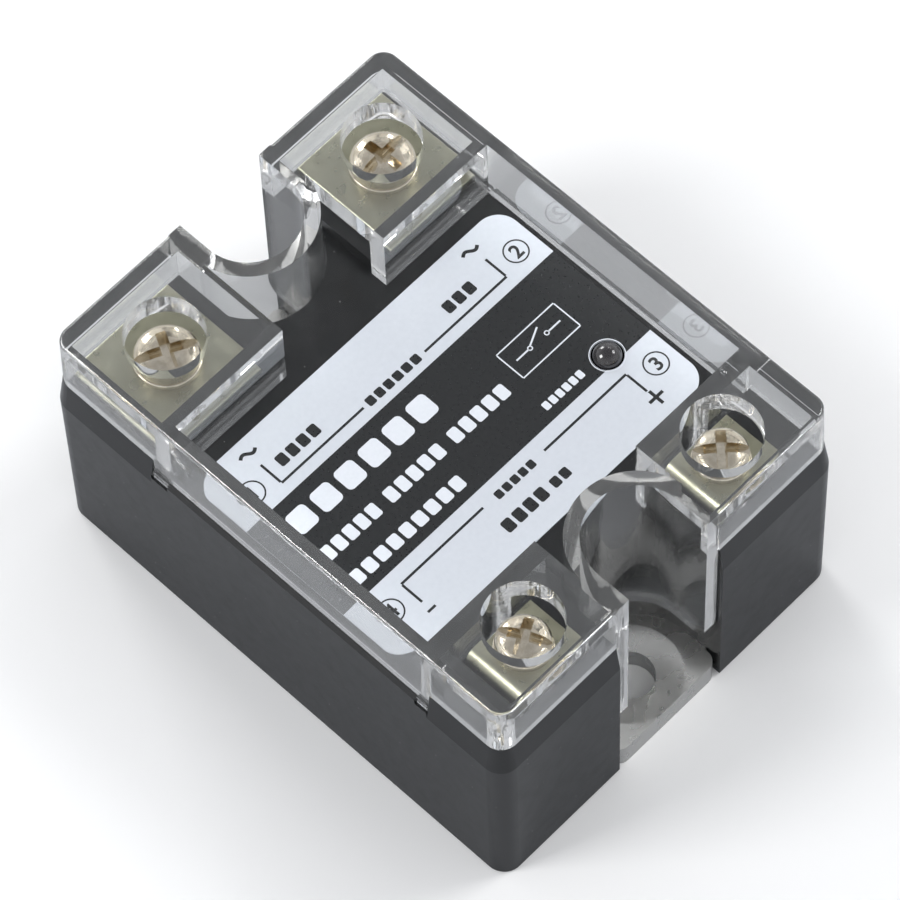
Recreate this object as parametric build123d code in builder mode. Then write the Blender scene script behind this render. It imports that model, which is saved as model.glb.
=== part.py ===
from build123d import *
import os

# Panel-mount solid state relay, built as the real one is: a nickel-plated base plate, the power
# circuit soldered to it on a ceramic substrate, a control board on pins above, a moulded housing
# filled with resin, four screw terminals, a printed label, an indicator and a lift-off clear cover.
#
# Millimetres. Origin at the bottom centre of the base. The load terminals 1 and 2 are at +Y,
# the control terminals 3 and 4 at -Y, and +Z is up, away from the mounting surface.

os.makedirs("parts", exist_ok=True)

# ---------------------------------------------------------------- driving dimensions
BODY_W = 45.0
BODY_L = 58.0
TOTAL_H = 32.0
MOUNT_PITCH = 47.6
MOUNT_HOLE_R = 2.5

# Base plate
PLATE_T = 3.0
PLATE_W = 41.4
PLATE_L = 54.4
TAB_W = 13.5
TAB_REACH = 28.85
TAB_CORNER_R = 1.2
COINING_R = 5.2
COINING_DEPTH = 0.3

# Housing heights: skirt, start of the tapered shoulder, deck under the label, terminal blocks
SKIRT_Z = 0.2
SHOULDER_Z = 21.4
DECK_Z = 23.3
BLOCK_Z = 25.1
SHOULDER_INSET = 0.55
HOUSING_CORNER_R = 2.0
DECK_CHAMFER = 0.4
OUTPUT_BLOCK_Y = 15.7
INPUT_BLOCK_Y = -19.6
FIT = 0.1

# Mounting-screw notches at both ends: concentric U shapes about the notch centre
NOTCH_Y = 24.6
NOTCH_R = 6.9
NOTCH_WALL = 1.5
GUARD_R_OUT = 6.7
GUARD_R_IN = 5.2
GUARD_Z = 9.0
GUARD_CORNER_R = 1.6

# Housing cavity
CAVITY_W = 40.6
CAVITY_L = 53.6
CAVITY_CORNER_R = 1.5
CAVITY_Z = 17.5
ATTIC_L = 26.0
ATTIC_Z = 21.1
RESIN_Z = 10.0

# Clear cover
COVER_GAP = 0.05
COVER_W = 44.06
COVER_L = 57.3
COVER_CORNER_R = 1.9
COVER_DRAFT = 1.5
COVER_WELL_W = 41.0
COVER_INSIDE_L = 54.6
COVER_TOP_T = 2.8
COVER_EDGE_R = 0.4
COVER_END = 28.42
OUTPUT_BLADE = (13.65, 15.55)
INPUT_BLADE = (-19.5, -18.2)
BLADE_END_X = 6.66
FOOT_X = (20.9, 22.25)
FOOT_Z = 22.35
ACCESS_R = 3.9

# Terminals
OUTPUT_XY = (14.3, 21.3)
INPUT_XY = (13.1, -22.9)
TERMINAL_T = 0.8
OUTPUT_HALF_W = 5.7
OUTPUT_Y = (16.2, 27.1)
OUTPUT_LEG_T = 1.0
OUTPUT_LEG_Y = (16.5, 20.0)
OUTPUT_RUN_H = 3.06
OUTPUT_RUN_END_Y = 8.0
OUTPUT_FOOT = (4.4, 4.0, 1.0)
INPUT_PLATE_X = (-3.1, 4.1)
INPUT_Y = (-26.4, -19.8)
INPUT_BEND_R = 1.3
INPUT_LIP_Z = 22.6
INPUT_LEG_Y = (-23.0, -20.0)
INPUT_RUN_END_Y = -13.0
INPUT_RUN_H = 2.0
BEND_CLEARANCE = 0.4

# Screws, washers and nuts: M4 on the load side, M3.5 on the control side
WASHER_T = 0.8
M4 = {"shank": 1.97, "head": 3.2, "head_h": 2.3, "washer": 3.35, "bore": 2.15, "tip_z": 19.3,
      "nut": 7.0, "nut_h": 3.2, "thread": 2.03}
M3_5 = {"shank": 1.72, "head": 2.65, "head_h": 2.2, "washer": 2.85, "bore": 1.9, "tip_z": 19.6,
        "nut": 5.8, "nut_h": 2.8, "thread": 1.78}
NUT_TOP_Z = 24.95
NUT_CORNER_R = 0.4
SCREW_WELL_R = 2.6
SCREW_WELL_Z = 18.9
SHANK_CHAMFER = 0.4
EDGE_BREAK = 0.15
# Crown of the pan head, from its rim to its flat top: (in from the rim, down from the top)
HEAD_CROWN = ((0, 1.1), (0.25, 0.55), (0.8, 0.22), (1.3, 0.08), (1.8, 0))
SLOT_W = 0.9
SLOT_DEPTH = 1.0
CROSS_W = 1.05
CROSS_REACH = 2.1
CROSS_DEPTH = 1.6
CROSS_NARROWING = 1.4

# Label and indicator
LABEL_X = 20.0
LABEL_Y = (-15.2, 12.0)
LABEL_T = 0.12
LABEL_CORNER_R = 2.4
LED_XY = (15.3, -6.6)
LED_R = 1.5
LED_FLANGE_R = 1.9
LED_FLANGE_H = 1.0
LED_BASE_Z = 19.3
LED_TOP_Z = 24.5
LEAD_PITCH = 2.54
LEAD_T = 0.5

# Power circuit
SUBSTRATE = (38.8, 20.0, 0.64)
SUBSTRATE_Y = 1.5
PAD_X = (1.0, 18.6)
PAD_Y = (-8.0, 11.0)
PAD_T = 0.3
PAD_CORNER_R = 0.8
CHIP = (9.0, 9.0, 0.5)
CHIP_X = 9.0
CHIP_Y = -2.0
CLIP_Z = 6.0
CLIP_T = 0.6
CLIP_CHIP_X = 9.2
CLIP_PAD_X = 3.2
CLIP_Y = {1: (-5.5, -2.5), 2: (-1.5, 1.5)}

# Control board
BOARD_Z = 11.4
BOARD_T = 1.6
BOARD_W = 37.0
BOARD_L = 30.0
BOARD_CORNER_R = 1.0
PIN_R = 0.4
PIN_GAP = 0.05
PIN_PROUD = 0.2
PIN_XY = ((-14.5, -7.0), (14.5, -7.0), (-13.0, 9.5), (15.5, 9.5))
OPTO_XY = (0.0, -6.0)
OPTO = (8.6, 6.4, 3.5)
OPTO_CHAMFER = 0.3
OPTO_LIFT = 0.4
OPTO_LEG = (0.5, 0.25)
OPTO_LEG_OUT = 0.6
OPTO_LEG_H = 1.4
CAPACITOR_XY = (-5.5, 9.0)
CAPACITOR = (13.0, 5.0, 7.1)
CAPACITOR_SIDE_R = 0.6
CAPACITOR_TOP_R = 0.5
TRANSISTOR_XY = (9.0, -2.0)
TRANSISTOR_R = 2.3
TRANSISTOR_H = 4.6
TRANSISTOR_LIFT = 1.5
TRANSISTOR_FLAT = (5.0, 2.0)
TRANSISTOR_LEAD = 0.4

# ---------------------------------------------------------------- derived heights
TERMINAL_TOP_Z = BLOCK_Z + TERMINAL_T
WASHER_TOP_Z = TERMINAL_TOP_Z + WASHER_T
PAD_TOP_Z = PLATE_T + SUBSTRATE[2] + PAD_T
CHIP_TOP_Z = PAD_TOP_Z + CHIP[2]
BOARD_TOP_Z = BOARD_Z + BOARD_T
MOUNT_Y = MOUNT_PITCH / 2

# number: (x, y, screw size, angle of the driver slot in degrees)
TERMINALS = {
    1: (-OUTPUT_XY[0], OUTPUT_XY[1], M4, -27.0),
    2: (OUTPUT_XY[0], OUTPUT_XY[1], M4, 3.0),
    3: (INPUT_XY[0], INPUT_XY[1], M3_5, -44.0),
    4: (-INPUT_XY[0], INPUT_XY[1], M3_5, -63.0),
}


# ---------------------------------------------------------------- helpers
def block(x0, x1, y0, y1, z0, z1, mode=Mode.ADD):
    """A box between two corners, joined to (or cut from) the part being made."""
    with Locations(((x0 + x1) / 2, (y0 + y1) / 2, (z0 + z1) / 2)):
        Box(x1 - x0, y1 - y0, z1 - z0, mode=mode)


def u_outline(radius, end, reach):
    """Face of a U about a notch centre: a half circle inwards, straight legs out to |y| = reach."""
    with BuildSketch(mode=Mode.PRIVATE) as outline:
        with BuildLine():
            Line((-radius, end * reach), (-radius, end * NOTCH_Y))
            ThreePointArc((-radius, end * NOTCH_Y), (0, end * (NOTCH_Y - radius)), (radius, end * NOTCH_Y))
            Line((radius, end * NOTCH_Y), (radius, end * reach))
            Line((radius, end * reach), (-radius, end * reach))
        make_face()
    return outline.sketch


def cavity_outline():
    """Inside of the housing, seen from above: a rounded rectangle round the two notch walls."""
    with BuildSketch(mode=Mode.PRIVATE) as outline:
        RectangleRounded(CAVITY_W, CAVITY_L, CAVITY_CORNER_R)
        for end in (1, -1):
            add(u_outline(NOTCH_R + NOTCH_WALL, end, BODY_L / 2), mode=Mode.SUBTRACT)
    return outline.sketch


def save(piece, label):
    """Name a finished piece and write it to its own file."""
    piece.part.label = label
    export_step(piece.part, f"parts/{label}.step")


# ---------------------------------------------------------------- base plate
with BuildPart() as base_plate:
    with BuildSketch():
        Rectangle(PLATE_W, PLATE_L)
        Rectangle(TAB_W, 2 * TAB_REACH)
    extrude(amount=PLATE_T)
    tab_corners = base_plate.edges().filter_by(Axis.Z).group_by(Axis.Y)
    fillet(tab_corners[0] + tab_corners[-1], TAB_CORNER_R)
    # A shallow pressed dish round each mounting hole
    for end in (1, -1):
        with Locations((0, end * MOUNT_Y, PLATE_T - COINING_DEPTH / 2)):
            Cone(MOUNT_HOLE_R, COINING_R, COINING_DEPTH, mode=Mode.SUBTRACT)
    with Locations((0, MOUNT_Y, PLATE_T), (0, -MOUNT_Y, PLATE_T)):
        Hole(MOUNT_HOLE_R)

# ---------------------------------------------------------------- housing
with BuildPart() as housing:
    with BuildSketch(Plane.XY.offset(SKIRT_Z)):
        RectangleRounded(BODY_W, BODY_L, HOUSING_CORNER_R)
    extrude(amount=SHOULDER_Z - SKIRT_Z)
    # Tapered shoulder round the terminal blocks
    with BuildSketch(Plane.XY.offset(SHOULDER_Z)):
        RectangleRounded(BODY_W, BODY_L, HOUSING_CORNER_R)
    with BuildSketch(Plane.XY.offset(BLOCK_Z)):
        inset = 2 * SHOULDER_INSET
        RectangleRounded(BODY_W - inset, BODY_L - inset, HOUSING_CORNER_R - SHOULDER_INSET)
    loft()
    # The deck between the blocks is lower, and its sides are upright
    block(-BODY_W, BODY_W, INPUT_BLOCK_Y, OUTPUT_BLOCK_Y, SHOULDER_Z, TOTAL_H, Mode.SUBTRACT)
    block(-NOTCH_R, NOTCH_R, -BODY_L, BODY_L, DECK_Z, TOTAL_H, Mode.SUBTRACT)
    with BuildSketch(Plane(origin=(0, OUTPUT_BLOCK_Y, 0), x_dir=(1, 0, 0), z_dir=(0, -1, 0))) as deck:
        with Locations((0, (SHOULDER_Z + DECK_Z) / 2)):
            Rectangle(BODY_W, DECK_Z - SHOULDER_Z)
        chamfer(deck.vertices().group_by(Axis.Y)[-1], DECK_CHAMFER)
    extrude(amount=OUTPUT_BLOCK_Y - INPUT_BLOCK_Y)
    # Notches for the mounting screws, right through
    for end in (1, -1):
        with BuildSketch():
            add(u_outline(NOTCH_R, end, BODY_L))
        extrude(amount=TOTAL_H, mode=Mode.SUBTRACT)
    # Recess for the base plate, and the cavity above it
    block(-PLATE_W / 2 - FIT, PLATE_W / 2 + FIT, -PLATE_L / 2 - FIT, PLATE_L / 2 + FIT,
          0, PLATE_T, Mode.SUBTRACT)
    with BuildSketch(Plane.XY.offset(PLATE_T)):
        add(cavity_outline())
    extrude(amount=CAVITY_Z - PLATE_T, mode=Mode.SUBTRACT)
    block(-CAVITY_W / 2, CAVITY_W / 2, -ATTIC_L / 2, ATTIC_L / 2, CAVITY_Z, ATTIC_Z, Mode.SUBTRACT)
    # Pocket for each captive nut, with a well below it for the end of the screw
    for x, y, screw, _ in TERMINALS.values():
        half = screw["nut"] / 2 + FIT
        block(x - half, x + half, y - half, y + half,
              NUT_TOP_Z - screw["nut_h"] - COVER_GAP, TOTAL_H, Mode.SUBTRACT)
        with Locations((x, y, (SCREW_WELL_Z + BLOCK_Z) / 2)):
            Cylinder(SCREW_WELL_R, BLOCK_Z - SCREW_WELL_Z, mode=Mode.SUBTRACT)
    # Slots where the terminal legs go down into the cavity
    for x in (-OUTPUT_XY[0], OUTPUT_XY[0]):
        block(x - OUTPUT_HALF_W - FIT, x - OUTPUT_HALF_W + OUTPUT_LEG_T + FIT,
              OUTPUT_LEG_Y[0] - FIT, OUTPUT_LEG_Y[1] + FIT, CAVITY_Z - FIT, TOTAL_H, Mode.SUBTRACT)
    for x in (-INPUT_XY[0], INPUT_XY[0]):
        bend_x = x + INPUT_PLATE_X[0] - INPUT_BEND_R
        block(bend_x - BEND_CLEARANCE, bend_x + TERMINAL_T + FIT, INPUT_Y[0] - FIT, INPUT_Y[1] + FIT,
              INPUT_LIP_Z - FIT, TOTAL_H, Mode.SUBTRACT)
        block(bend_x - FIT, bend_x + TERMINAL_T + FIT, INPUT_LEG_Y[0] - FIT, INPUT_LEG_Y[1] + FIT,
              CAVITY_Z - FIT, TOTAL_H, Mode.SUBTRACT)
        block(bend_x, x + INPUT_PLATE_X[0] + FIT, INPUT_Y[0] - FIT, INPUT_Y[1] + FIT,
              TERMINAL_TOP_Z - INPUT_BEND_R, TOTAL_H, Mode.SUBTRACT)
    # Hole for the indicator
    with Locations((*LED_XY, DECK_Z)):
        Hole(LED_R + FIT, depth=DECK_Z - ATTIC_Z)
    # Seats for the feet of the cover's partitions
    for y0, y1 in (OUTPUT_BLADE, INPUT_BLADE):
        for side in (1, -1):
            xs = sorted((side * (FOOT_X[0] - FIT), side * BODY_W))
            block(*xs, y0 - FIT, y1 + FIT, FOOT_Z - FIT, TOTAL_H, Mode.SUBTRACT)

# ---------------------------------------------------------------- clear cover
COVER_Z = DECK_Z + COVER_GAP
with BuildPart() as cover:
    with BuildSketch(Plane.XY.offset(COVER_Z)):
        RectangleRounded(COVER_W, COVER_L, COVER_CORNER_R)
    extrude(amount=TOTAL_H - COVER_Z, taper=COVER_DRAFT)
    fillet(cover.faces().sort_by(Axis.Z)[-1].edges(), COVER_EDGE_R)
    # Open well over the label, between the two partitions
    well = COVER_WELL_W / 2
    block(-well, well, INPUT_BLADE[1], OUTPUT_BLADE[0], 0, TOTAL_H, Mode.SUBTRACT)
    # A compartment over each pair of terminals, closed on top
    inside = COVER_INSIDE_L / 2
    block(-well, well, OUTPUT_BLADE[1], inside, 0, TOTAL_H - COVER_TOP_T, Mode.SUBTRACT)
    block(-well, well, -inside, INPUT_BLADE[0], 0, TOTAL_H - COVER_TOP_T, Mode.SUBTRACT)
    # The middle stays open from the well out to both ends
    block(-BLADE_END_X, BLADE_END_X, -BODY_L, BODY_L, 0, TOTAL_H, Mode.SUBTRACT)
    # Over the terminal blocks the rim ends higher than over the deck
    rim_z = BLOCK_Z + COVER_GAP
    block(-BODY_W, BODY_W, OUTPUT_BLOCK_Y - FIT, BODY_L, 0, rim_z, Mode.SUBTRACT)
    block(-BODY_W, BODY_W, -BODY_L, INPUT_BLOCK_Y + FIT, 0, rim_z, Mode.SUBTRACT)
    # Guard walls round the mounting screws reach down into the notches
    for end in (1, -1):
        with BuildSketch(Plane.XY.offset(GUARD_Z)):
            add(u_outline(GUARD_R_OUT, end, COVER_END))
            add(u_outline(GUARD_R_IN, end, COVER_END), mode=Mode.SUBTRACT)
        extrude(amount=TOTAL_H - GUARD_Z)
    guard_toes = cover.edges().filter_by(Axis.X).group_by(Axis.Z)[0]
    fillet(guard_toes, GUARD_CORNER_R)
    # Feet of the partitions
    for y0, y1 in (OUTPUT_BLADE, INPUT_BLADE):
        for side in (1, -1):
            xs = sorted((side * FOOT_X[0], side * FOOT_X[1]))
            block(*xs, y0, y1, FOOT_Z, DECK_Z + FIT)
    # A screwdriver hole over each terminal
    with Locations(*[(x, y, TOTAL_H) for x, y, _, _ in TERMINALS.values()]):
        Hole(ACCESS_R)

# ---------------------------------------------------------------- label
with BuildPart() as label:
    with BuildSketch(Plane((0, sum(LABEL_Y) / 2, DECK_Z))):
        RectangleRounded(2 * LABEL_X, LABEL_Y[1] - LABEL_Y[0], LABEL_CORNER_R)
    extrude(amount=LABEL_T)
    with Locations((*LED_XY, DECK_Z)):
        Hole(LED_R + FIT)

# ---------------------------------------------------------------- indicator
with BuildPart() as status_led:
    with BuildSketch(Plane(origin=(*LED_XY, 0), x_dir=(1, 0, 0), z_dir=(0, -1, 0))):
        with BuildLine():
            flange_top = LED_BASE_Z + LED_FLANGE_H
            Polyline((0, LED_TOP_Z), (0, LED_BASE_Z), (LED_FLANGE_R, LED_BASE_Z),
                     (LED_FLANGE_R, flange_top), (LED_R, flange_top), (LED_R, LED_TOP_Z - LED_R))
            CenterArc((0, LED_TOP_Z - LED_R), LED_R, 0, 90)
        make_face()
    revolve(axis=Axis((*LED_XY, 0), (0, 0, 1)))

with BuildPart() as led_leads:
    for side in (1, -1):
        y = LED_XY[1] + side * LEAD_PITCH / 2
        block(LED_XY[0] - LEAD_T / 2, LED_XY[0] + LEAD_T / 2, y - LEAD_T / 2, y + LEAD_T / 2,
              BOARD_TOP_Z, LED_BASE_Z)


# ---------------------------------------------------------------- terminals
def output_terminal(x):
    """Load terminal: clamp plate, leg down through the housing, and a foot soldered to its pad."""
    left = x - OUTPUT_HALF_W
    foot_x, foot_y, foot_z = OUTPUT_FOOT
    with BuildPart() as piece:
        block(left, x + OUTPUT_HALF_W, *OUTPUT_Y, BLOCK_Z, TERMINAL_TOP_Z)
        with Locations((x, OUTPUT_XY[1], TERMINAL_TOP_Z)):
            Hole(M4["bore"] + FIT / 2)
        fillet(piece.faces().sort_by(Axis.Z)[-1].outer_wire().edges(), TERMINAL_T / 4)
        block(left, left + OUTPUT_LEG_T, *OUTPUT_LEG_Y, PAD_TOP_Z, BLOCK_Z)
        block(left, left + OUTPUT_LEG_T, OUTPUT_RUN_END_Y, OUTPUT_LEG_Y[1],
              PAD_TOP_Z, PAD_TOP_Z + OUTPUT_RUN_H)
        block(left, left + foot_x, OUTPUT_RUN_END_Y - foot_y / 2, OUTPUT_RUN_END_Y + foot_y / 2,
              PAD_TOP_Z, PAD_TOP_Z + foot_z)
    return piece


def input_terminal(x):
    """Control terminal: a strip rolled over at one side, with a leg down to the control board."""
    bend_x = x + INPUT_PLATE_X[0]
    outer_x = bend_x - INPUT_BEND_R
    inner_x = outer_x + TERMINAL_T
    bend_z = TERMINAL_TOP_Z - INPUT_BEND_R
    corner = INPUT_BEND_R * (1 - 0.5 ** 0.5)
    inner_r = INPUT_BEND_R - TERMINAL_T
    inner_corner = inner_r * (1 - 0.5 ** 0.5)
    with BuildPart() as piece:
        with BuildSketch(Plane(origin=(0, INPUT_Y[1], 0), x_dir=(1, 0, 0), z_dir=(0, -1, 0))):
            with BuildLine():
                ThreePointArc((outer_x, bend_z), (outer_x + corner, TERMINAL_TOP_Z - corner),
                              (bend_x, TERMINAL_TOP_Z))
                Polyline((bend_x, TERMINAL_TOP_Z), (x + INPUT_PLATE_X[1], TERMINAL_TOP_Z),
                         (x + INPUT_PLATE_X[1], BLOCK_Z), (bend_x, BLOCK_Z))
                ThreePointArc((bend_x, BLOCK_Z), (inner_x + inner_corner, BLOCK_Z - inner_corner),
                              (inner_x, bend_z))
                Polyline((inner_x, bend_z), (inner_x, INPUT_LIP_Z), (outer_x, INPUT_LIP_Z),
                         (outer_x, bend_z))
            make_face()
        extrude(amount=INPUT_Y[1] - INPUT_Y[0])
        with Locations((x, INPUT_XY[1], TERMINAL_TOP_Z)):
            Hole(M3_5["bore"] + FIT / 2)
        block(outer_x, inner_x, *INPUT_LEG_Y, BOARD_TOP_Z, INPUT_LIP_Z)
        block(outer_x, inner_x, INPUT_LEG_Y[1], INPUT_RUN_END_Y, BOARD_TOP_Z, BOARD_TOP_Z + INPUT_RUN_H)
    return piece


output_terminals = {1: output_terminal(-OUTPUT_XY[0]), 2: output_terminal(OUTPUT_XY[0])}
input_terminals = {3: input_terminal(INPUT_XY[0]), 4: input_terminal(-INPUT_XY[0])}


# ---------------------------------------------------------------- screws, washers, nuts
def terminal_screw(x, y, screw, slot_angle):
    """Pan head screw with a combined slot and cross recess, and a plain shank of thread size."""
    seat = WASHER_TOP_Z
    top = seat + screw["head_h"]
    radius = screw["shank"]
    head = screw["head"]
    tip = screw["tip_z"]
    with BuildPart() as piece:
        with BuildSketch(Plane(origin=(x, y, 0), x_dir=(1, 0, 0), z_dir=(0, -1, 0))):
            crown = [(head - inwards, top - down) for inwards, down in HEAD_CROWN]
            with BuildLine():
                Polyline((0, top), (0, tip), (radius - SHANK_CHAMFER, tip), (radius, tip + SHANK_CHAMFER),
                         (radius, seat), (head - EDGE_BREAK, seat), (head, seat + EDGE_BREAK), crown[0])
                ThreePointArc(*crown[:3])
                ThreePointArc(*crown[2:])
                Line(crown[-1], (0, top))
            make_face()
        revolve(axis=Axis((x, y, 0), (0, 0, 1)))
        recess_plane = Plane((x, y, top + FIT)).rotated((0, 0, slot_angle))
        with BuildSketch(recess_plane):
            Rectangle(2 * (head + FIT), SLOT_W)
        extrude(amount=-SLOT_DEPTH - FIT, mode=Mode.SUBTRACT)
        for turn in (0, 90):
            with BuildSketch(recess_plane):
                Rectangle(2 * CROSS_REACH, CROSS_W, rotation=turn)
            with BuildSketch(recess_plane.offset(-CROSS_DEPTH)):
                Rectangle(2 * CROSS_REACH - CROSS_NARROWING, CROSS_W - CROSS_NARROWING / 4, rotation=turn)
            loft(mode=Mode.SUBTRACT)
    return piece


def clamp_washer(x, y, screw):
    """Plain washer between the screw head and the terminal."""
    with BuildPart() as piece:
        with BuildSketch(Plane((x, y, TERMINAL_TOP_Z))):
            Circle(screw["washer"])
            Circle(screw["bore"], mode=Mode.SUBTRACT)
        extrude(amount=WASHER_T)
        fillet(piece.edges().filter_by(GeomType.CIRCLE).sort_by(SortBy.RADIUS)[-2:], EDGE_BREAK)
    return piece


def captive_nuts(x, y, screw):
    """The two square nuts under one pair of terminals."""
    with BuildPart() as piece:
        for side in (1, -1):
            with BuildSketch(Plane((side * x, y, NUT_TOP_Z))):
                RectangleRounded(screw["nut"], screw["nut"], NUT_CORNER_R)
                Circle(screw["thread"], mode=Mode.SUBTRACT)
            extrude(amount=-screw["nut_h"])
    return piece


screws = {n: terminal_screw(*values) for n, values in TERMINALS.items()}
washers = {n: clamp_washer(*values[:3]) for n, values in TERMINALS.items()}
output_nuts = captive_nuts(*OUTPUT_XY, M4)
input_nuts = captive_nuts(*INPUT_XY, M3_5)

# ---------------------------------------------------------------- power circuit
with BuildPart() as ceramic_substrate:
    with BuildSketch(Plane((0, SUBSTRATE_Y, PLATE_T))):
        Rectangle(SUBSTRATE[0], SUBSTRATE[1])
    extrude(amount=SUBSTRATE[2])


def copper_pad(side):
    """One of the two copper conductors on the substrate."""
    with BuildPart() as piece:
        centre = (side * sum(PAD_X) / 2, sum(PAD_Y) / 2, PAD_TOP_Z - PAD_T)
        with BuildSketch(Plane(centre)):
            RectangleRounded(PAD_X[1] - PAD_X[0], PAD_Y[1] - PAD_Y[0], PAD_CORNER_R)
        extrude(amount=PAD_T)
    return piece


def thyristor_chip(side):
    """Bare chip soldered face down on one pad, with its gate mesa on top."""
    with BuildPart() as piece:
        with BuildSketch(Plane((side * CHIP_X, CHIP_Y, PAD_TOP_Z))):
            Rectangle(CHIP[0], CHIP[1])
        extrude(amount=CHIP[2])
        chamfer(piece.edges().group_by(Axis.Z)[-1], EDGE_BREAK)
    return piece


def bridge_clip(side, y0, y1):
    """Copper strip from the top of the chip on one side over to the pad on the other side."""
    chip_x = side * CLIP_CHIP_X
    pad_x = -side * CLIP_PAD_X
    half = CLIP_T / 2
    with BuildPart() as piece:
        left, right = sorted((chip_x, pad_x))
        block(left - half, right + half, y0, y1, CLIP_Z, CLIP_Z + CLIP_T)
        block(chip_x - half, chip_x + half, y0, y1, CHIP_TOP_Z, CLIP_Z)
        block(pad_x - half, pad_x + half, y0, y1, PAD_TOP_Z, CLIP_Z)
    return piece


pads = {"left": copper_pad(-1), "right": copper_pad(1)}
chips = {1: thyristor_chip(-1), 2: thyristor_chip(1)}
clips = {1: bridge_clip(-1, *CLIP_Y[1]), 2: bridge_clip(1, *CLIP_Y[2])}

with BuildPart() as gate_pins:
    for pin_x, pin_y in PIN_XY:
        with BuildSketch(Plane((pin_x, pin_y, PAD_TOP_Z))):
            Circle(PIN_R)
        extrude(amount=BOARD_TOP_Z + PIN_PROUD - PAD_TOP_Z)

# ---------------------------------------------------------------- control board and its components
with BuildPart() as control_board:
    with BuildSketch(Plane.XY.offset(BOARD_Z)):
        RectangleRounded(BOARD_W, BOARD_L, BOARD_CORNER_R)
        with Locations(*PIN_XY):
            Circle(PIN_R + PIN_GAP, mode=Mode.SUBTRACT)
    extrude(amount=BOARD_T)

with BuildPart() as optocoupler:
    opto_z = BOARD_TOP_Z + OPTO_LIFT
    leg_z = opto_z + OPTO_LEG_H
    with BuildSketch(Plane((*OPTO_XY, opto_z))):
        Rectangle(OPTO[0], OPTO[1])
    extrude(amount=OPTO[2])
    chamfer(optocoupler.edges().group_by(Axis.Z)[-1], OPTO_CHAMFER)
    # Three legs along each long side, out of the body and down to the board
    for column in (-1, 0, 1):
        leg_x = OPTO_XY[0] + column * LEAD_PITCH
        for side in (1, -1):
            body_y = OPTO_XY[1] + side * OPTO[1] / 2
            leg_y = body_y + side * OPTO_LEG_OUT
            shin = sorted((leg_y, leg_y + side * OPTO_LEG[1]))
            arm = sorted((body_y, leg_y + side * OPTO_LEG[1]))
            block(leg_x - OPTO_LEG[0] / 2, leg_x + OPTO_LEG[0] / 2, *arm, leg_z, leg_z + OPTO_LEG[1])
            block(leg_x - OPTO_LEG[0] / 2, leg_x + OPTO_LEG[0] / 2, *shin, BOARD_TOP_Z, leg_z)

with BuildPart() as snubber_capacitor:
    with BuildSketch(Plane((*CAPACITOR_XY, BOARD_TOP_Z))):
        Rectangle(CAPACITOR[0], CAPACITOR[1])
    extrude(amount=CAPACITOR[2])
    fillet(snubber_capacitor.edges().filter_by(Axis.Z), CAPACITOR_SIDE_R)
    fillet(snubber_capacitor.edges().group_by(Axis.Z)[-1], CAPACITOR_TOP_R)


def axial_resistor(centre, along, body_r, body_len, lead_r, span):
    """Axial resistor lying on the board, its two leads bent down to it."""
    x, y, z = centre
    with BuildPart() as piece:
        lying = Plane(origin=centre, x_dir=(0, 0, 1), z_dir=along)
        with BuildSketch(lying):
            Circle(body_r)
        extrude(amount=body_len / 2, both=True)
        fillet(piece.edges(), body_r / 4)
        with BuildSketch(lying):
            Circle(lead_r)
        extrude(amount=span, both=True)
        for side in (1, -1):
            with BuildSketch(Plane((x + side * span * along[0], y + side * span * along[1], BOARD_TOP_Z))):
                Circle(lead_r)
            extrude(amount=z - BOARD_TOP_Z + lead_r)
    return piece


snubber_resistor = axial_resistor(centre=(8.5, 9.0, BOARD_TOP_Z + 2.2), along=(1, 0, 0),
                                  body_r=1.8, body_len=9.0, lead_r=0.35, span=5.6)
input_resistor = axial_resistor(centre=(-10.0, -9.0, BOARD_TOP_Z + 1.5), along=(0, 1, 0),
                                body_r=1.2, body_len=6.3, lead_r=0.3, span=4.3)

with BuildPart() as driver_transistor:
    body_z = BOARD_TOP_Z + TRANSISTOR_LIFT
    with BuildSketch(Plane((*TRANSISTOR_XY, body_z))):
        Circle(TRANSISTOR_R)
        with Locations((0, -TRANSISTOR_R)):
            Rectangle(*TRANSISTOR_FLAT, mode=Mode.SUBTRACT)
    extrude(amount=TRANSISTOR_H)
    half = TRANSISTOR_LEAD / 2
    for column in (-1, 0, 1):
        lead_x = TRANSISTOR_XY[0] + column * LEAD_PITCH / 2
        block(lead_x - half, lead_x + half, TRANSISTOR_XY[1] - half, TRANSISTOR_XY[1] + half,
              BOARD_TOP_Z, body_z)

# ---------------------------------------------------------------- resin filling
with BuildPart() as potting_resin:
    with BuildSketch(Plane.XY.offset(PLATE_T)):
        add(cavity_outline())
    extrude(amount=RESIN_Z - PLATE_T)
    embedded = [ceramic_substrate, gate_pins, *pads.values(), *chips.values(), *clips.values(),
                *output_terminals.values()]
    for piece in embedded:
        add(piece.part, mode=Mode.SUBTRACT)

# ---------------------------------------------------------------- files
save(base_plate, "base_plate")
save(housing, "housing")
save(cover, "cover")
save(label, "label")
save(status_led, "status_led")
save(led_leads, "led_leads")
for number, piece in output_terminals.items():
    save(piece, f"output_terminal_{number}")
for number, piece in input_terminals.items():
    save(piece, f"input_terminal_{number}")
for number, piece in screws.items():
    save(piece, f"terminal_screw_{number}")
for number, piece in washers.items():
    save(piece, f"clamp_washer_{number}")
save(output_nuts, "output_nuts")
save(input_nuts, "input_nuts")
save(ceramic_substrate, "ceramic_substrate")
for side, piece in pads.items():
    save(piece, f"copper_pad_{side}")
for number, piece in chips.items():
    save(piece, f"thyristor_chip_{number}")
for number, piece in clips.items():
    save(piece, f"bridge_clip_{number}")
save(gate_pins, "gate_pins")
save(control_board, "control_board")
save(optocoupler, "optocoupler")
save(snubber_capacitor, "snubber_capacitor")
save(snubber_resistor, "snubber_resistor")
save(input_resistor, "input_resistor")
save(driver_transistor, "driver_transistor")
save(potting_resin, "potting_resin")
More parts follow.
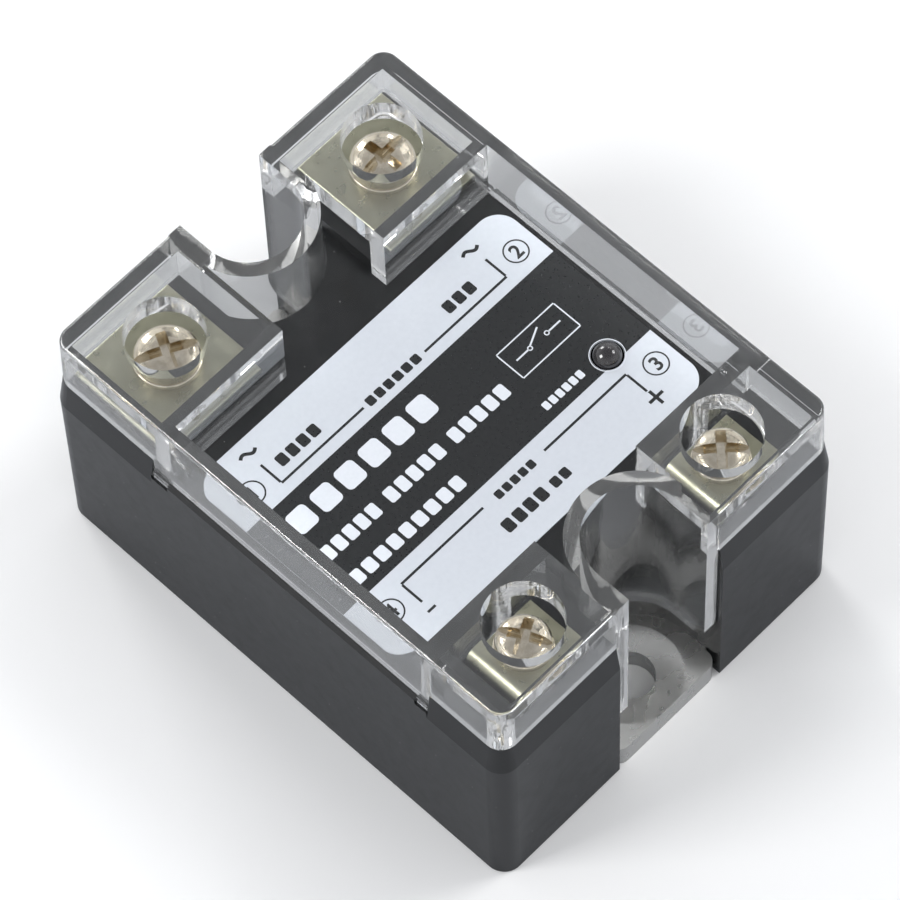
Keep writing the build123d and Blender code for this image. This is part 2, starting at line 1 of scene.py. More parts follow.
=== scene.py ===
import math

import bmesh
import bpy
from mathutils import Matrix, Quaternion, Vector


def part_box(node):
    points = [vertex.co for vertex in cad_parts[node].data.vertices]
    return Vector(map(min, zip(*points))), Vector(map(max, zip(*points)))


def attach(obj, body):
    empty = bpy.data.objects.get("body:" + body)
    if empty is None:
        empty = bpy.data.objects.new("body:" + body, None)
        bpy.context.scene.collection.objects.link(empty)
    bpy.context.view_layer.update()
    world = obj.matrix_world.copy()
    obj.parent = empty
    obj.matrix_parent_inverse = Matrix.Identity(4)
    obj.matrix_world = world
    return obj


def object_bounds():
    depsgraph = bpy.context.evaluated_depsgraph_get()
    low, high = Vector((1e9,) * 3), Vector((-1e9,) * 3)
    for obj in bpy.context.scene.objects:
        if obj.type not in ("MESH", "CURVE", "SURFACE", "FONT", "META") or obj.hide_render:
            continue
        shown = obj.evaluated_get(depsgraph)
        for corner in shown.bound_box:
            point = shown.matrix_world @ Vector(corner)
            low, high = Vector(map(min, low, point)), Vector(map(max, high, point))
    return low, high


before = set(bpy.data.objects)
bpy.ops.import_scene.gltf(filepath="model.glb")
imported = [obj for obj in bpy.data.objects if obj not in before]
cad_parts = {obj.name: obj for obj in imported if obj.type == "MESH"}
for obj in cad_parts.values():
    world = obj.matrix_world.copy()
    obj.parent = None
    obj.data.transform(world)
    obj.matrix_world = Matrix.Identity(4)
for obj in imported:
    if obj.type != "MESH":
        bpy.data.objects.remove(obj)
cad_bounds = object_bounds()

MM = 0.001

# ---------------------------------------------------------------- camera, floor and light
AIM = Vector((0.17, -0.67, 17.8)) * MM
VIEW_AZIMUTH = math.radians(43.8)
VIEW_ELEVATION = math.radians(61.57)
VIEW_ROLL = math.radians(-2.68)
VIEW_DISTANCE = 0.5651
LENS_MM = 242.4
SENSOR_MM = 36.0
CLIP_START = 0.01

# Light is reflected many times between the walls of the clear cover
MAX_BOUNCES = 28
GLOSSY_BOUNCES = 24
TRANSMISSION_BOUNCES = 24

# Softboxes: place and side length in metres, then watts
SOFTBOXES = {
    "softbox_left": ((-0.9, 0.5, 0.9), 0.45, 7.0),
    "softbox_right": ((0.9, -0.4, 1.0), 0.45, 5.5),
    "softbox_back": ((0.3, 1.1, 0.6), 0.4, 4.0),
}

# Light tent: height on the sky, 0 at the horizon and 1 overhead, and the colour there
TENT_SIDES = (0.0, (0.95, 0.96, 0.98, 1))
TENT_SHOULDER = (0.55, (0.80, 0.81, 0.83, 1))
TENT_TOP = (0.95, (0.42, 0.43, 0.45, 1))

FLOOR_REACH = 3.0
FLOOR_SEGMENTS = 8
FLOOR_DROP = 0.02 * MM
PAPER_MOTTLE_MM = 60.0
PAPER_DARK = (0.94, 0.94, 0.94)
PAPER_LIGHT = (0.96, 0.96, 0.96)
# Painted reflection: the grey the floor shows in reflections, and partly through the cover, in place of the
# pale paper
PAINTED_REFLECTION_GREY = (0.42, 0.43, 0.45)
PAPER_SHARE_THROUGH_COVER = 0.3


def make_camera():
    """A long lens from above the corner at terminal 4."""
    flat = math.cos(VIEW_ELEVATION)
    look = Vector((math.sin(VIEW_AZIMUTH) * flat, math.cos(VIEW_AZIMUTH) * flat, -math.sin(VIEW_ELEVATION)))
    data = bpy.data.cameras.new("camera")
    data.lens = LENS_MM
    data.sensor_width = SENSOR_MM
    data.clip_start = CLIP_START
    camera = bpy.data.objects.new("camera", data)
    bpy.context.scene.collection.objects.link(camera)
    camera.location = AIM - look * VIEW_DISTANCE
    turn = look.to_track_quat("-Z", "Y") @ Quaternion((0, 0, 1), VIEW_ROLL)
    camera.rotation_euler = turn.to_euler()
    bpy.context.scene.camera = camera


def make_softbox(name, place, size, watts):
    """A square, white softbox aimed at the object."""
    data = bpy.data.lights.new(name, "AREA")
    data.shape = "SQUARE"
    data.size = size
    data.energy = watts
    light = bpy.data.objects.new(name, data)
    bpy.context.scene.collection.objects.link(light)
    light.location = place
    light.rotation_euler = (AIM - Vector(place)).to_track_quat("-Z", "Y").to_euler()


def make_world():
    """A light tent: white round the sides, greyer overhead."""
    world = bpy.data.worlds.new("light_tent")
    world.use_nodes = True
    bpy.context.scene.world = world
    tree = world.node_tree
    background = tree.nodes["Background"]
    coords = tree.nodes.new("ShaderNodeTexCoord")
    split = tree.nodes.new("ShaderNodeSeparateXYZ")
    ramp = tree.nodes.new("ShaderNodeValToRGB")
    stops = ramp.color_ramp.elements
    stops[0].position, stops[0].color = TENT_SIDES
    stops[1].position, stops[1].color = TENT_TOP
    shoulder = stops.new(TENT_SHOULDER[0])
    shoulder.color = TENT_SHOULDER[1]
    tree.links.new(coords.outputs["Generated"], split.inputs[0])
    tree.links.new(split.outputs["Z"], ramp.inputs["Fac"])
    tree.links.new(ramp.outputs["Color"], background.inputs["Color"])
    background.inputs["Strength"].default_value = 1.0


# ---------------------------------------------------------------- materials
# Most of a noise texture's values lie between these two
NOISE_LOW = 0.3
NOISE_HIGH = 0.7


class Finish:
    """A procedural material: one Principled shader and the textures that drive it."""

    def __init__(self, name, **fixed):
        self.material = bpy.data.materials.new(name)
        self.material.use_nodes = True
        self.tree = self.material.node_tree
        self.shader = self.tree.nodes["Principled BSDF"]
        self.coords = self.tree.nodes.new("ShaderNodeTexCoord").outputs["Object"]
        for key, value in fixed.items():
            self.shader.inputs[key.replace("_", " ")].default_value = value

    def node(self, kind, links=None, **settings):
        """A new node, its settings made and its inputs linked or set by name or number."""
        new = self.tree.nodes.new(kind)
        for key, value in settings.items():
            setattr(new, key, value)
        for key, value in (links or {}).items():
            if isinstance(value, bpy.types.NodeSocket):
                self.tree.links.new(value, new.inputs[key])
            else:
                new.inputs[key].default_value = value
        return new

    def noise(self, grain_mm, detail=3.0, stretch=(1, 1, 1)):
        """Noise whose grain is about this many millimetres across."""
        mapped = self.node("ShaderNodeMapping", {"Vector": self.coords, "Scale": stretch})
        noise = self.node("ShaderNodeTexNoise", {"Vector": mapped.outputs[0], "Scale": 1 / (grain_mm * MM),
                                                 "Detail": detail, "Roughness": 0.5})
        return noise.outputs["Fac"]

    def specks(self, spacing_mm, radius):
        """Sparse dots: 1 inside each dot and 0 outside. radius is a share of the spacing."""
        cells = self.node("ShaderNodeTexVoronoi", {"Vector": self.coords, "Scale": 1 / (spacing_mm * MM)})
        return self.remap(cells.outputs["Distance"], radius, radius * 0.6, 0, 1)

    def remap(self, value, low, high, to_low, to_high):
        """The value from low..high, spread over to_low..to_high and clamped."""
        spread = self.node("ShaderNodeMapRange", {0: value, 1: low, 2: high, 3: to_low, 4: to_high})
        return spread.outputs[0]

    def spread(self, noise, to_low, to_high):
        """Noise spread over to_low..to_high."""
        return self.remap(noise, NOISE_LOW, NOISE_HIGH, to_low, to_high)

    def math(self, operation, a, b):
        return self.node("ShaderNodeMath", {0: a, 1: b}, operation=operation).outputs[0]

    def blend(self, factor, colour_a, colour_b):
        """Colour a where the factor is 0, colour b where it is 1."""
        mix = self.node("ShaderNodeMix", {"Factor": factor}, data_type="RGBA")
        for socket, colour in ((mix.inputs[6], colour_a), (mix.inputs[7], colour_b)):
            if isinstance(colour, bpy.types.NodeSocket):
                self.tree.links.new(colour, socket)
            else:
                socket.default_value = (*colour, 1)
        return mix.outputs[2]

    def drive(self, key, socket):
        self.tree.links.new(socket, self.shader.inputs[key])

    def bump(self, height, depth_mm, strength):
        """Adds relief; several calls stack up."""
        links = {"Height": height, "Distance": depth_mm * MM, "Strength": strength}
        below = self.shader.inputs["Normal"]
        if below.is_linked:
            links["Normal"] = below.links[0].from_socket
        self.drive("Normal", self.node("ShaderNodeBump", links).outputs[0])

    def let_lamps_through(self, colour):
        """Lets light from the lamps pass a clear part, as it does when the part is this thin."""
        clear = self.node("ShaderNodeBsdfTransparent", {"Color": (*colour, 1)})
        path = self.node("ShaderNodeLightPath")
        mix = self.node("ShaderNodeMixShader", {0: path.outputs["Is Shadow Ray"],
                                                1: self.shader.outputs[0], 2: clear.outputs[0]})
        self.tree.links.new(mix.outputs[0], self.tree.nodes["Material Output"].inputs["Surface"])


def nickel_plate():
    """Bright nickel over pressed sheet: rolling lines and soft dents."""
    finish = Finish("nickel_plate", Metallic=1.0)
    tone = finish.noise(6.0)
    finish.drive("Base Color", finish.blend(tone, (0.80, 0.785, 0.75), (0.92, 0.91, 0.88)))
    finish.drive("Roughness", finish.spread(finish.noise(3.0, 2), 0.24, 0.32))
    finish.bump(finish.noise(0.8, 2, (0.06, 1, 1)), 0.001, 0.2)
    finish.bump(finish.noise(6.0, 1), 0.02, 0.3)
    return finish.material


def terminal_nickel():
    """Satin nickel on brass strip: olive tint, soft stains and faint drawing lines."""
    finish = Finish("nickel_terminal", Metallic=1.0)
    stains = finish.noise(3.0, 3)
    finish.drive("Base Color", finish.blend(stains, (0.25, 0.245, 0.175), (0.38, 0.37, 0.285)))
    finish.drive("Roughness", finish.spread(finish.noise(1.5, 2), 0.26, 0.36))
    finish.bump(finish.noise(0.6, 1, (0.1, 1, 1)), 0.001, 0.2)
    finish.bump(finish.noise(4.0, 1), 0.02, 0.3)
    return finish.material


def screw_nickel():
    """Bright nickel with a warm tint and a fine uneven surface."""
    finish = Finish("screw_nickel", Metallic=1.0)
    tone = finish.noise(0.9, 3)
    finish.drive("Base Color", finish.blend(tone, (0.50, 0.43, 0.32), (0.86, 0.80, 0.68)))
    finish.drive("Roughness", finish.spread(finish.noise(0.3, 4), 0.10, 0.22))
    finish.bump(finish.noise(0.35, 3), 0.006, 0.6)
    return finish.material


def plain_metal(name, dark, light, rough, grain_mm):
    """A plain metal for the small internal parts: two tones, a little grain."""
    finish = Finish(name, Metallic=1.0)
    finish.drive("Base Color", finish.blend(finish.noise(grain_mm, 4), dark, light))
    finish.drive("Roughness", finish.spread(finish.noise(grain_mm / 3, 3), rough * 0.75, rough * 1.25))
    finish.bump(finish.noise(grain_mm / 4, 3), 0.004, 0.6)
    return finish.material


def black_housing():
    """Glossy moulded black plastic: slight flow waviness, fine grain and settled dust."""
    finish = Finish("black_housing")
    dust = finish.math("MULTIPLY", finish.specks(1.1, 0.055), finish.remap(finish.noise(3.5), 0.5, 0.6, 0, 1))
    haze = finish.remap(finish.noise(7.0, 4), 0.35, 0.75, 0, 1)
    body = finish.blend(haze, (0.0085, 0.009, 0.0095), (0.0125, 0.013, 0.0135))
    finish.drive("Base Color", finish.blend(dust, body, (0.28, 0.28, 0.27)))
    sheen = finish.spread(finish.noise(1.5, 4), 0.17, 0.27)
    finish.drive("Roughness", finish.math("ADD", sheen, finish.math("MULTIPLY", dust, 0.5)))
    finish.bump(finish.noise(0.5, 2), 0.002, 0.4)
    finish.bump(finish.noise(6.0, 1), 0.03, 0.4)
    return finish.material


def clear_cover():
    """Polished clear polycarbonate with faint moulding waves and long streaks of light wear."""
    finish = Finish("clear_cover", IOR=1.585)
    finish.drive("Transmission Weight", finish.spread(finish.noise(4.0), 0.995, 0.985))
    finish.drive("Base Color", finish.blend(finish.noise(9.0), (0.955, 0.962, 0.962), (0.985, 0.99, 0.99)))
    wear = finish.noise(2.0, 2, (1, 0.15, 1))
    finish.drive("Roughness", finish.remap(wear, 0.35, 0.75, 0.015, 0.045))
    finish.bump(finish.noise(5.0, 1), 0.012, 0.5)
    finish.let_lamps_through((0.93, 0.94, 0.94))
    return finish.material


def label_film():
    """Satin white film with a faint paper-like mottle."""
    finish = Finish("label_film")
    mottle = finish.noise(0.5, 4)
    finish.drive("Base Color", finish.blend(mottle, (0.55, 0.58, 0.63), (0.61, 0.64, 0.69)))
    finish.drive("Roughness", finish.spread(mottle, 0.32, 0.45))
    finish.bump(finish.noise(0.5, 2), 0.003, 0.4)
    return finish.material


def printing_ink(name, dark, light, rough):
    """Screen-printed ink: slightly uneven cover and gloss."""
    finish = Finish(name)
    cover = finish.noise(0.35, 4)
    finish.drive("Base Color", finish.blend(cover, dark, light))
    finish.drive("Roughness", finish.spread(cover, rough * 0.85, rough * 1.2))
    finish.bump(finish.noise(0.5, 2), 0.002, 0.4)
    return finish.material


def led_lens():
    """Dark tinted epoxy under a clear, glossy coat."""
    finish = Finish("led_lens", IOR=1.54, Coat_Weight=1.0, Coat_Roughness=0.03)
    depth = finish.noise(0.8, 2)
    finish.drive("Base Color", finish.blend(depth, (0.006, 0.005, 0.006), (0.016, 0.013, 0.015)))
    finish.drive("Roughness", finish.spread(depth, 0.03, 0.08))
    finish.bump(finish.noise(1.2, 1), 0.004, 0.3)
    return finish.material


def moulded(name, dark, light, rough, grain_mm=0.25):
    """Moulded or coated parts inside: two tones with a moulded grain."""
    finish = Finish(name)
    finish.drive("Base Color", finish.blend(finish.noise(1.4, 4), dark, light))
    finish.drive("Roughness", finish.spread(finish.noise(grain_mm, 3), rough * 0.85, rough * 1.15))
    finish.bump(finish.noise(grain_mm, 3), 0.006, 0.6)
    return finish.material


def green_board():
    """Solder mask over a woven glass board, with the weave just showing."""
    finish = Finish("green_board")
    weave_scale = 320.0
    weave_x = finish.node("ShaderNodeTexWave", {"Vector": finish.coords, "Scale": weave_scale},
                          bands_direction="X")
    weave_y = finish.node("ShaderNodeTexWave", {"Vector": finish.coords, "Scale": weave_scale},
                          bands_direction="Y")
    weave = finish.math("MULTIPLY", weave_x.outputs["Fac"], weave_y.outputs["Fac"])
    finish.drive("Base Color", finish.blend(weave, (0.012, 0.075, 0.032), (0.022, 0.12, 0.055)))
    finish.drive("Roughness", finish.spread(finish.noise(0.6, 3), 0.25, 0.4))
    finish.bump(weave, 0.01, 0.4)
    return finish.material


# ---------------------------------------------------------------- printed pieces on the label
# Heights in millimetres, over the top of the label
INK_DEPTH = 0.008
INK_TOP = 0.004
PANEL_TOP = 0.002
ARC_STEPS = 10
MERGE_MM = 1e-5
BLOCK_MARGIN_SHARE = 0.12
BLOCK_CORNER_SHARE = 0.22
DIGIT_HEIGHT_SHARE = 0.7
DIGIT_BOLD_SHARE = 0.035


class Print:
    """Flat printed shapes, all in one thin mesh. Sizes are in millimetres, in the row frame."""

    def __init__(self):
        self.mesh = bmesh.new()

    def polygon(self, points):
        """A filled outline."""
        self.mesh.faces.new([self.mesh.verts.new((x, y, 0)) for x, y in points])

    def box(self, x0, x1, y0, y1):
        self.polygon([(x0, y0), (x1, y0), (x1, y1), (x0, y1)])

    def frame(self, x_ends, y_ends, width):
        """The outline of a rectangle, drawn with a line of this width."""
        half = width / 2
        for y in y_ends:
            self.box(x_ends[0], x_ends[1], y - half, y + half)
        for x in x_ends:
            self.box(x - half, x + half, y_ends[0] + half, y_ends[1] - half)

    def rounded(self, x0, x1, y0, y1, radius):
        """A rectangle with rounded corners."""
        centres = [(x0 + radius, y0 + radius), (x1 - radius, y0 + radius),
                   (x1 - radius, y1 - radius), (x0 + radius, y1 - radius)]
        points = []
        for quarter, (x, y) in enumerate(centres):
            start = math.pi * (1 + quarter / 2)
            for step in range(ARC_STEPS + 1):
                angle = start + math.pi / 2 * step / ARC_STEPS
                points.append((x + radius * math.cos(angle), y + radius * math.sin(angle)))
        self.polygon(points)

    def word(self, x0, x1, y0, y1, letters):
        """A row of plain blocks, one for each letter of a word."""
        pitch = (x1 - x0) / letters
        margin = pitch * BLOCK_MARGIN_SHARE
        radius = min(pitch - 2 * margin, y1 - y0) * BLOCK_CORNER_SHARE
        for i in range(letters):
            start = x0 + i * pitch
            self.rounded(start + margin, start + pitch - margin, y0, y1, radius)

    def ring(self, x, y, radius, width, steps=64):
        """A circle drawn with a line of this width."""
        outer = []
        inner = []
        for step in range(steps):
            angle = 2 * math.pi * step / steps
            across = Vector((math.cos(angle), math.sin(angle), 0))
            outer.append(self.mesh.verts.new(Vector((x, y, 0)) + across * (radius + width / 2)))
            inner.append(self.mesh.verts.new(Vector((x, y, 0)) + across * (radius - width / 2)))
        for step in range(steps):
            after = (step + 1) % steps
            self.mesh.faces.new((inner[step], outer[step], outer[after], inner[after]))

    def stroke(self, points, width):
        """A line of this width through the points."""
        left = []
        right = []
        for i, (x, y) in enumerate(points):
            before = Vector(points[max(i - 1, 0)])
            after = Vector(points[min(i + 1, len(points) - 1)])
            along = (after - before).normalized()
            side = Vector((-along.y, along.x)) * width / 2
            left.append(self.mesh.verts.new((x + side.x, y + side.y, 0)))
            right.append(self.mesh.verts.new((x - side.x, y - side.y, 0)))
        for i in range(len(points) - 1):
            self.mesh.faces.new((right[i], right[i + 1], left[i + 1], left[i]))

    def wave(self, x, y, length, height, width, steps=20):
        """The sign for alternating current."""
        points = []
        for step in range(steps + 1):
            share = step / steps
            points.append((x + (share - 0.5) * length, y + math.sin(share * 2 * math.pi) * height / 2))
        self.stroke(points, width)

    def plus(self, x, y, arm, width):
        """A plus sign: one bar across, and the upright in two pieces that meet it."""
        half = width / 2
        self.box(x - arm, x + arm, y - half, y + half)
        self.box(x - half, x + half, y - arm, y - half)
        self.box(x - half, x + half, y + half, y + arm)

    def minus(self, x, y, arm, width):
        self.box(x - arm, x + arm, y - width / 2, y + width / 2)

    def number(self, text, x, y, height):
        """A digit, centred."""
        curve = bpy.data.curves.new("digit", "FONT")
        curve.body = text
        curve.align_x = "CENTER"
        curve.align_y = "CENTER"
        curve.size = height / DIGIT_HEIGHT_SHARE
        curve.offset = height * DIGIT_BOLD_SHARE
        holder = bpy.data.objects.new("digit", curve)
        bpy.context.scene.collection.objects.link(holder)
        bpy.context.view_layer.update()
        flat = bpy.data.meshes.new_from_object(holder.evaluated_get(bpy.context.evaluated_depsgraph_get()))
        xs = [v.co.x for v in flat.vertices]
        ys = [v.co.y for v in flat.vertices]
        centre = Vector(((min(xs) + max(xs)) / 2, (min(ys) + max(ys)) / 2, 0))
        flat.transform(Matrix.Translation(Vector((x, y, 0)) - centre))
        self.mesh.from_mesh(flat)
        bpy.data.objects.remove(holder)
        bpy.data.curves.remove(curve)
        bpy.data.meshes.remove(flat)

    def finish(self, name, label_top, height, material):
        """Gives the print its thickness, puts it on the label and lets it ride with the housing."""
        bmesh.ops.remove_doubles(self.mesh, verts=self.mesh.verts, dist=MERGE_MM)
        bmesh.ops.recalc_face_normals(self.mesh, faces=self.mesh.faces)
        for face in self.mesh.faces:
            if face.normal.z < 0:
                face.normal_flip()
        grown = bmesh.ops.extrude_face_region(self.mesh, geom=self.mesh.faces[:])
        raised = [v for v in grown["geom"] if isinstance(v, bmesh.types.BMVert)]
        bmesh.ops.translate(self.mesh, verts=raised, vec=(0, 0, INK_DEPTH + height))
        bmesh.ops.recalc_face_normals(self.mesh, faces=self.mesh.faces)
        bmesh.ops.translate(self.mesh, verts=self.mesh.verts, vec=(0, 0, label_top / MM - INK_DEPTH))
        bmesh.ops.scale(self.mesh, verts=self.mesh.verts, vec=(MM, MM, MM))
        data = bpy.data.meshes.new(name)
        self.mesh.to_mesh(data)
        self.mesh.free()
        data.materials.append(material)
        piece = bpy.data.objects.new(name, data)
        bpy.context.scene.collection.objects.link(piece)
        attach(piece, "root")


# Places on the label, in millimetres: the black panel lies between the two white bands
UPPER_BAND_Y = 4.75
LOWER_BAND_Y = -7.65

# Terminal numbers in circles
CIRCLES = {"1": (-17.6, 7.3), "2": (17.6, 7.3), "3": (17.75, -10.5), "4": (-17.6, -10.5)}
CIRCLE_R = 1.22
CIRCLE_LINE = 0.16
DIGIT_HEIGHT = 1.45

# Lines that join two terminals: the ends of the legs, then the line itself
LINE_W = 0.26
BRACKET_X = 15.0
BRACKET_GAP_X = (-4.2, 3.95)
UPPER_BRACKET_Y = (8.78, 6.05)
LOWER_BRACKET_Y = (-11.9, -9.25)

# Signs beside the terminals
WAVES = [(-15.0, 10.45), (14.65, 10.45)]
WAVE_SIZE = (1.9, 0.5)
WAVE_LINE = 0.36
PLUS_AT = (15.14, -12.93)
PLUS_ARM = 0.9
PLUS_LINE = 0.34
MINUS_AT = (-14.9, -13.015)
MINUS_ARM = 0.5
MINUS_LINE = 0.27

# Blocks in place of words: left, right, bottom, top and number of letters
BLACK_WORDS = {
    "load line": (-3.8, 3.4, 5.6, 6.6, 6),
    "load, left": (-13.9, -8.4, 7.1, 8.4, 4),
    "load, right": (8.3, 12.4, 7.1, 8.4, 3),
    "control line": (-2.7, 2.6, -9.8, -8.9, 5),
    "control, first": (-4.6, 1.2, -12.9, -11.5, 4),
    "control, second": (1.7, 4.2, -12.8, -11.7, 2),
}
WHITE_WORDS = {
    "name": (-18.0, 1.0, 0.75, 3.3, 6),
    "first line, left": (-18.0, -10.6, -2.95, -1.35, 5),
    "first line, middle": (-9.7, -2.1, -2.95, -1.35, 5),
    "first line, right": (-1.2, 6.5, -2.95, -1.35, 5),
    "second line": (-18.0, -3.2, -6.55, -5.05, 9),
    "indicator": (7.1, 12.5, -6.6, -5.7, 6),
}

# The indicator: the hole for it in the panel, the square patch round the hole, and its white ring
LED_HOLE_R = 1.62
PATCH_HALF = LED_HOLE_R * 1.2
PATCH_STEPS = 48
LED_RING_R = 1.72
LED_RING_LINE = 0.1

# The circuit symbol, measured from the sides of its frame and from its middle height
SYMBOL_X = (8.2, 15.9)
SYMBOL_Y = (-2.6, 0.9)
SYMBOL_LINE = 0.14
LEAD_START = 0.9
LEAD_END = 2.5
LEAD_LINE = 0.18
CONTACT_IN = 2.72
CONTACT_R = 0.22
CONTACT_LINE = 0.12
CONTACT_STEPS = 24
ARM_IN = 2.9
ARM_RISE = (0.18, 1.1)


def bracket(ink, y_end, y_line):
    """The line that joins two terminals, broken in the middle for its word."""
    half = LINE_W / 2
    left_gap, right_gap = BRACKET_GAP_X
    ink.box(-BRACKET_X, left_gap, y_line - half, y_line + half)
    ink.box(right_gap, BRACKET_X, y_line - half, y_line + half)
    step = half if y_end > y_line else -half
    low, high = sorted((y_end, y_line + step))
    for x in (-BRACKET_X, BRACKET_X):
        ink.box(x - half, x + half, low, high)


def panel_round_led(panel, led):
    """A square patch with the indicator's hole in it, cut off at the lower edge of the panel."""
    inner = []
    outer = []
    for step in range(PATCH_STEPS):
        angle = 2 * math.pi * step / PATCH_STEPS
        cos, sin = math.cos(angle), math.sin(angle)
        reach = PATCH_HALF / max(abs(cos), abs(sin))
        for corners, radius in ((inner, LED_HOLE_R), (outer, reach)):
            y = max(led.y + sin * radius, LOWER_BAND_Y)
            corners.append(panel.mesh.verts.new((led.x + cos * radius, y, 0)))
    for step in range(PATCH_STEPS):
        after = (step + 1) % PATCH_STEPS
        corners = [inner[step], outer[step], outer[after], inner[after]]
        if (corners[0].co - corners[1].co).length + (corners[2].co - corners[3].co).length > MERGE_MM / 10:
            panel.mesh.faces.new(corners)


def print_black_panel(label_low, label_high, led, ink):
    """The black panel right across the label, in three boxes and a patch round the indicator."""
    panel = Print()
    panel.box(label_low.x / MM, led.x - PATCH_HALF, LOWER_BAND_Y, UPPER_BAND_Y)
    panel.box(led.x + PATCH_HALF, label_high.x / MM, LOWER_BAND_Y, UPPER_BAND_Y)
    panel.box(led.x - PATCH_HALF, led.x + PATCH_HALF, led.y + PATCH_HALF, UPPER_BAND_Y)
    panel_round_led(panel, led)
    panel.finish("label_black_panel", label_high.z, PANEL_TOP, ink)


def print_black(label_top, ink):
    """Terminal numbers, joining lines, signs and words on the white bands."""
    black = Print()
    bracket(black, *UPPER_BRACKET_Y)
    bracket(black, *LOWER_BRACKET_Y)
    for number, (x, y) in CIRCLES.items():
        black.ring(x, y, CIRCLE_R, CIRCLE_LINE)
        black.number(number, x, y, DIGIT_HEIGHT)
    for x, y in WAVES:
        black.wave(x, y, *WAVE_SIZE, WAVE_LINE)
    black.plus(*PLUS_AT, PLUS_ARM, PLUS_LINE)
    black.minus(*MINUS_AT, MINUS_ARM, MINUS_LINE)
    for place in BLACK_WORDS.values():
        black.word(*place)
    black.finish("label_black_print", label_top, INK_TOP, ink)


def circuit_symbol(white):
    """A relay's open contact in a frame."""
    left, right = SYMBOL_X
    middle_y = sum(SYMBOL_Y) / 2
    half = LEAD_LINE / 2
    white.frame(SYMBOL_X, SYMBOL_Y, SYMBOL_LINE)
    white.box(left + LEAD_START, left + LEAD_END, middle_y - half, middle_y + half)
    white.box(right - LEAD_END, right - LEAD_START, middle_y - half, middle_y + half)
    for x in (left + CONTACT_IN, right - CONTACT_IN):
        white.ring(x, middle_y, CONTACT_R, CONTACT_LINE, CONTACT_STEPS)
    arm_start = (left + ARM_IN, middle_y + ARM_RISE[0])
    arm_end = (right - ARM_IN, middle_y + ARM_RISE[1])
    white.stroke([arm_start, arm_end], LEAD_LINE)


def print_white(label_top, led, ink):
    """The indicator's ring, the words and the circuit symbol on the black panel."""
    white = Print()
    white.ring(led.x, led.y, LED_RING_R, LED_RING_LINE)
    for place in WHITE_WORDS.values():
        white.word(*place)
    circuit_symbol(white)
    white.finish("label_white_print", label_top, PANEL_TOP + INK_TOP, ink)


def print_label():
    """All the printing on the label."""
    label_low, label_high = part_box("label")
    led_low, led_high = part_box("status_led")
    led = (led_low + led_high) / 2 / MM
    black_ink = printing_ink("black_ink", (0.010, 0.011, 0.012), (0.018, 0.019, 0.020), 0.30)
    white_ink = printing_ink("white_ink", (0.66, 0.69, 0.74), (0.74, 0.77, 0.82), 0.40)
    print_black_panel(label_low, label_high, led, black_ink)
    print_black(label_high.z, black_ink)
    print_white(label_high.z, led, white_ink)


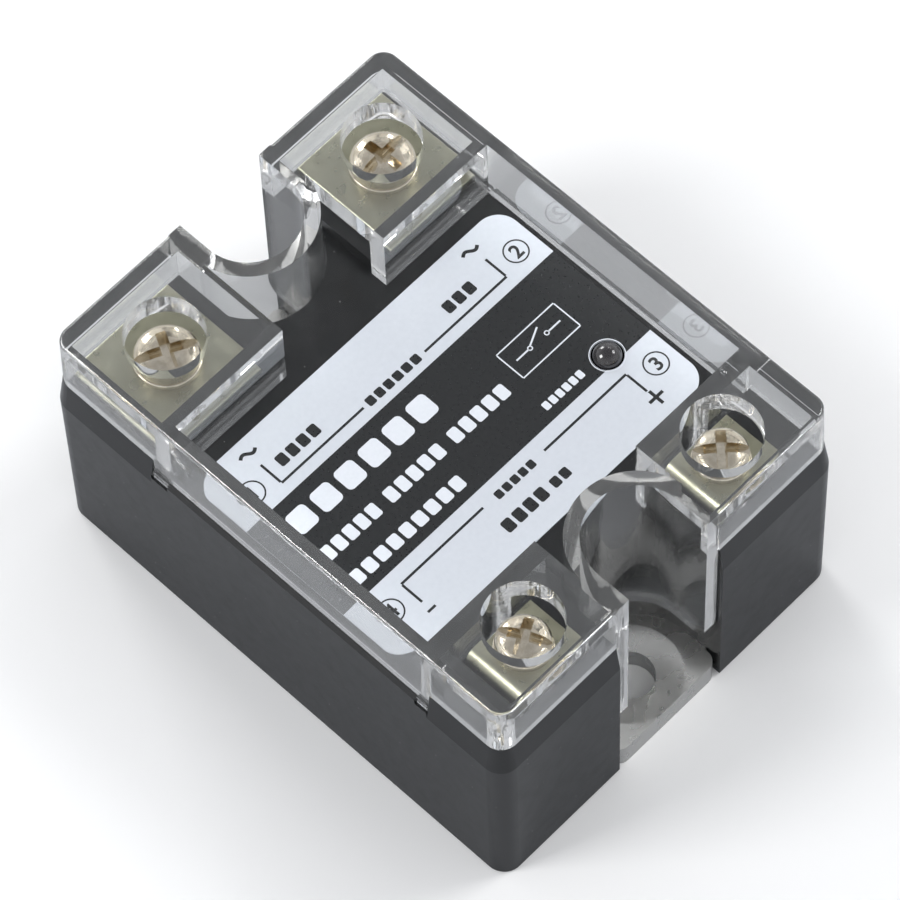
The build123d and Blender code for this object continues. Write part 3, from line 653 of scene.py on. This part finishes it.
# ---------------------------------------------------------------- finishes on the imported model
def dress_model():
    """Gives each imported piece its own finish."""
    nickel = nickel_plate()
    terminal = terminal_nickel()
    screw = screw_nickel()
    tinned = plain_metal("tinned_wire", (0.55, 0.55, 0.54), (0.78, 0.78, 0.77), 0.3, 0.6)
    zinc = plain_metal("zinc_nut", (0.45, 0.47, 0.5), (0.68, 0.7, 0.72), 0.32, 0.8)
    copper = plain_metal("copper", (0.62, 0.27, 0.15), (0.88, 0.46, 0.3), 0.3, 1.5)
    silicon = plain_metal("silicon", (0.2, 0.21, 0.24), (0.42, 0.43, 0.46), 0.2, 2.0)
    epoxy = moulded("black_epoxy", (0.014, 0.014, 0.015), (0.03, 0.03, 0.031), 0.5)
    coat = moulded("resistor_coat", (0.38, 0.3, 0.19), (0.5, 0.42, 0.28), 0.4)
    finishes = {
        "base_plate": nickel, "housing": black_housing(), "cover": clear_cover(),
        "label": label_film(), "status_led": led_lens(), "led_leads": tinned, "gate_pins": tinned,
        "output_nuts": zinc, "input_nuts": zinc, "control_board": green_board(),
        "ceramic_substrate": moulded("ceramic", (0.78, 0.78, 0.75), (0.88, 0.88, 0.85), 0.55),
        "snubber_capacitor": moulded("yellow_film_box", (0.6, 0.42, 0.06), (0.72, 0.53, 0.1), 0.3),
        "optocoupler": epoxy, "driver_transistor": epoxy,
        "snubber_resistor": coat, "input_resistor": coat,
        "potting_resin": moulded("clear_resin", (0.1, 0.1, 0.11), (0.16, 0.16, 0.17), 0.2, 1.0),
    }
    families = {
        ("output_terminal", "input_terminal"): terminal,
        ("terminal_screw", "clamp_washer"): screw,
        ("copper_pad", "bridge_clip"): copper,
        ("thyristor_chip",): silicon,
    }
    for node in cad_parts:
        for starts, material in families.items():
            if node.startswith(starts):
                finishes[node] = material
    for node, material in finishes.items():
        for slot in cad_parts[node].material_slots:
            slot.material = material


def make_floor():
    """A wide, plain sheet under the object: pale paper to the camera, a painted darker grey in reflections
    and partly through the cover.
    """
    mesh = bmesh.new()
    bmesh.ops.create_grid(mesh, x_segments=FLOOR_SEGMENTS, y_segments=FLOOR_SEGMENTS, size=FLOOR_REACH)
    data = bpy.data.meshes.new("floor")
    mesh.to_mesh(data)
    mesh.free()
    finish = Finish("floor_paper", Roughness=0.7)
    paper = finish.blend(finish.noise(PAPER_MOTTLE_MM), PAPER_DARK, PAPER_LIGHT)
    # Painted reflection: reflected rays see a darker grey than the paper the camera sees, and rays through
    # the cover see it in part, so the object's black sides stay deep
    path = finish.node("ShaderNodeLightPath").outputs
    through = finish.math("MULTIPLY", path["Is Transmission Ray"], PAPER_SHARE_THROUGH_COVER)
    paper_vs_painted_reflection = finish.math("ADD", path["Is Camera Ray"], through)
    finish.drive("Base Color", finish.blend(paper_vs_painted_reflection, PAINTED_REFLECTION_GREY, paper))
    data.materials.append(finish.material)
    floor = bpy.data.objects.new("floor", data)
    bpy.context.scene.collection.objects.link(floor)
    floor.location.z = cad_bounds[0][2] - FLOOR_DROP


# ---------------------------------------------------------------- the scene
scene = bpy.context.scene
scene.view_settings.view_transform = "Standard"
scene.cycles.max_bounces = MAX_BOUNCES
scene.cycles.glossy_bounces = GLOSSY_BOUNCES
scene.cycles.transmission_bounces = TRANSMISSION_BOUNCES
make_camera()
make_world()
make_floor()
for name, (place, size, watts) in SOFTBOXES.items():
    make_softbox(name, place, size, watts)
dress_model()
print_label()
